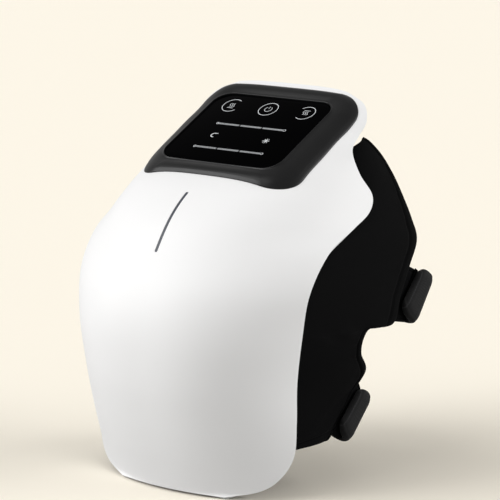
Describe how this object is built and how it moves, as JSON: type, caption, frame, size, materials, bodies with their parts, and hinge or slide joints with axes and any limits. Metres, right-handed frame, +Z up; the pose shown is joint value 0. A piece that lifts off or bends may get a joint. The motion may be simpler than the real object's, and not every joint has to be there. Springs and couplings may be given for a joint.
{
  "type": "knee massager",
  "caption": "Knee massager: white front shell with a touch panel, black padded wings and two straps that close behind the knee.",
  "frame": {"origin": "under the middle of the part's box, on the plane of its feet", "axes": "+X to the right as seen from the front, +Y back towards the knee, +Z up"},
  "size_m": [0.1578, 0.1826, 0.209],
  "materials": {
    "shell_white": "smooth white moulding, soft gloss",
    "bezel_grey": "satin dark grey",
    "lens_black": "gloss black touch surface",
    "light_smoke": "smoked light guide",
    "frame_black": "matte black moulding",
    "fabric_black": "soft black knit over foam",
    "strap_black": "black elastic webbing",
    "tape_black": "black loop tape",
    "bag_grey": "welded film air bag",
    "foam_grey": "open foam",
    "film_amber": "heating film",
    "board_green": "circuit board",
    "cell_blue": "sleeved cell",
    "steel": "plain steel",
    "brass": "plain brass",
    "pump_white": "natural moulding",
    "hose_clear": "soft clear hose",
    "rubber": "black rubber"
  },
  "bodies": {
    "housing": {"front_shell": "shell_white", "panel_bezel": "bezel_grey", "touch_lens": "lens_black", "touch_board": "board_green", "light_bar": "light_smoke", "led_board": "board_green", "inner_frame": "frame_black", "wing_right": "fabric_black", "wing_left": "fabric_black", "airbag_right": "bag_grey", "airbag_left": "bag_grey", "liner_right": "fabric_black", "liner_left": "fabric_black", "ear_upper_right": "fabric_black", "ear_lower_right": "fabric_black", "ear_upper_left": "fabric_black", "ear_lower_left": "fabric_black", "tape_upper": "tape_black", "tape_lower": "tape_black", "pin_upper": "steel", "pin_lower": "steel", "foam_pad": "foam_grey", "heat_film": "film_amber", "knee_cover": "fabric_black", "case_screw_1": "steel", "case_screw_2": "steel", "case_screw_3": "steel", "case_screw_4": "steel", "chassis": "pump_white", "battery_cell_lower": "cell_blue", "battery_cell_upper": "cell_blue", "main_board": "board_green", "pump_motor": "steel", "pump_head": "pump_white", "valve_body": "pump_white", "valve_spring": "steel", "air_hose": "hose_clear", "shaker_right": "steel", "shaker_left": "steel", "base_plate": "frame_black", "foot_1": "rubber", "foot_2": "rubber", "foot_3": "rubber", "foot_4": "rubber", "charge_socket": "steel"},
    "upper_strap": {"strap_upper": "strap_black"},
    "lower_strap": {"strap_lower": "strap_black"},
    "crank": {"pump_crank": "brass"},
    "plunger": {"valve_plunger": "steel"},
    "right_weight": {"weight_right": "brass"},
    "left_weight": {"weight_left": "brass"}
  },
  "joints": [
    {"name": "strap_upper_swing", "type": "hinge", "parent": "housing", "child": "upper_strap", "pos_m": [-0.071, 0.06148, 0.09739], "axis": [0, 0.4067, 0.9135], "range_deg": [0, 100]},
    {"name": "strap_lower_swing", "type": "hinge", "parent": "housing", "child": "lower_strap", "pos_m": [-0.067, 0.01748, 0.03839], "axis": [0, 0.1045, 0.9945], "range_deg": [0, 100]},
    {"name": "pump_spin", "type": "hinge", "parent": "housing", "child": "crank", "pos_m": [-0.0012, -0.05392, 0.0844], "axis": [1, 0, 0], "continuous": true},
    {"name": "valve_slide", "type": "slide", "parent": "housing", "child": "plunger", "axis": [0, 0, -1], "range_m": [0, 0.002], "stiffness_N_per_m": 400, "deforming": ["valve_spring"]},
    {"name": "shaker_right_spin", "type": "hinge", "parent": "housing", "child": "right_weight", "pos_m": [0.05, -0.04812, 0.0638], "axis": [0, 0, 1], "continuous": true},
    {"name": "shaker_left_spin", "type": "hinge", "parent": "housing", "child": "left_weight", "pos_m": [-0.05, -0.04812, 0.0638], "axis": [0, 0, 1], "continuous": true}
  ]
}
